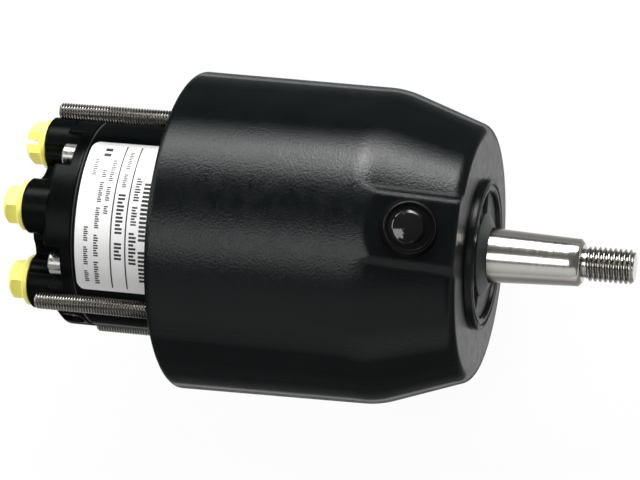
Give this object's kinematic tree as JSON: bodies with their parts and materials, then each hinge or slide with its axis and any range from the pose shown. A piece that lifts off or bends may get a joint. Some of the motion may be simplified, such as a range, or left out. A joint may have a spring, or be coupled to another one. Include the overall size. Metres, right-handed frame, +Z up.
{
  "type": "hydraulic helm pump",
  "caption": "Hydraulic helm pump for a boat's dash: black cast housing with tapered wheel shaft, filler plug, rear pump body, mounting studs and capped ports.",
  "frame": {"origin": "centre of the dash face, on the shaft's axis", "axes": "+Z up through the filler plug, -Y along the wheel shaft toward the wheel, +X to the right as seen from the wheel"},
  "size_m": [0.112, 0.2161, 0.1127],
  "materials": {
    "housing_black": "textured powder coat",
    "body_black": "satin",
    "cover_black": "satin",
    "nut_black": "satin",
    "plug_black": "gloss",
    "plug_yellow": "satin",
    "label_white": "satin",
    "shaft_steel": "polished",
    "stud_steel": "satin",
    "screw_steel": "satin",
    "inner_steel": "ground",
    "bronze": "satin",
    "rubber": "matte",
    "gasket": "matte"
  },
  "bodies": {
    "pump": {"front_housing": "housing_black", "bearing_retainer": "nut_black", "shaft_seal": "rubber", "bearing_outer_race": "inner_steel", "shaft_bush": "bronze", "swash_washer": "inner_steel", "swash_plate": "inner_steel", "swash_pin": "inner_steel", "swash_circlip": "inner_steel", "valve_plate": "bronze", "valve_dowels": "inner_steel", "pump_body": "body_black", "body_oring": "rubber", "flange_screws": "screw_steel", "mounting_studs": "stud_steel", "cover_gasket": "gasket", "rear_cover": "cover_black", "cover_screws": "screw_steel", "left_spring": "inner_steel", "right_spring": "inner_steel", "valve_seats": "bronze", "valve_end_plugs": "screw_steel", "data_label": "label_white"},
    "shaft": {"wheel_shaft": "shaft_steel", "shaft_key": "inner_steel", "shaft_circlip": "inner_steel", "bearing_inner_race": "inner_steel", "rotor": "inner_steel", "piston_springs": "inner_steel"},
    "bearing_set": {"bearing_balls": "inner_steel", "bearing_cage": "bronze"},
    "ball_track": {"swash_race": "inner_steel", "piston_balls": "inner_steel"},
    "thrust_set": {"thrust_balls": "inner_steel", "thrust_cage": "bronze"},
    "spool": {"lock_spool": "inner_steel"},
    "left_valve": {"left_poppet": "inner_steel"},
    "right_valve": {"right_poppet": "inner_steel"},
    "filler": {"filler_plug": "plug_black", "filler_oring": "rubber"},
    "top_plug": {"top_port_plug": "plug_yellow"},
    "left_plug": {"left_port_plug": "plug_yellow"},
    "right_plug": {"right_port_plug": "plug_yellow"}
  },
  "joints": [
    {"name": "shaft_turn", "type": "hinge", "parent": "pump", "child": "shaft", "pos_m": [0, 0, 0], "axis": [0, -1, 0], "continuous": true, "deforming": ["piston_springs"]},
    {"name": "bearing_turn", "type": "hinge", "parent": "pump", "child": "bearing_set", "pos_m": [0, -0.09, 0], "axis": [0, -1, 0], "continuous": true},
    {"name": "track_turn", "type": "hinge", "parent": "pump", "child": "ball_track", "pos_m": [0, -0.0055, 0], "axis": [0, -0.9833, -0.1822], "continuous": true},
    {"name": "thrust_turn", "type": "hinge", "parent": "pump", "child": "thrust_set", "pos_m": [0, -0.0055, 0], "axis": [0, -0.9833, -0.1822], "continuous": true},
    {"name": "spool_slide", "type": "slide", "parent": "pump", "child": "spool", "axis": [1, 0, 0], "range_m": [-0.0012, 0.0012]},
    {"name": "left_valve_slide", "type": "slide", "parent": "pump", "child": "left_valve", "axis": [-1, 0, 0], "range_m": [0, 0.0015], "deforming": ["left_spring"]},
    {"name": "right_valve_slide", "type": "slide", "parent": "pump", "child": "right_valve", "axis": [1, 0, 0], "range_m": [0, 0.0015], "deforming": ["right_spring"]},
    {"name": "filler_lift", "type": "slide", "parent": "pump", "child": "filler", "axis": [0, -0.335, 0.9422], "range_m": [0, 0.03]},
    {"name": "top_plug_out", "type": "slide", "parent": "pump", "child": "top_plug", "axis": [0, 1, 0], "range_m": [0, 0.025]},
    {"name": "left_plug_out", "type": "slide", "parent": "pump", "child": "left_plug", "axis": [0, 1, 0], "range_m": [0, 0.025]},
    {"name": "right_plug_out", "type": "slide", "parent": "pump", "child": "right_plug", "axis": [0, 1, 0], "range_m": [0, 0.025]}
  ],
  "couplings": [
    {"joint": "bearing_turn", "follows": "shaft_turn", "ratio": 0.39758},
    {"joint": "track_turn", "follows": "shaft_turn", "ratio": 1},
    {"joint": "thrust_turn", "follows": "shaft_turn", "ratio": 0.5}
  ]
}
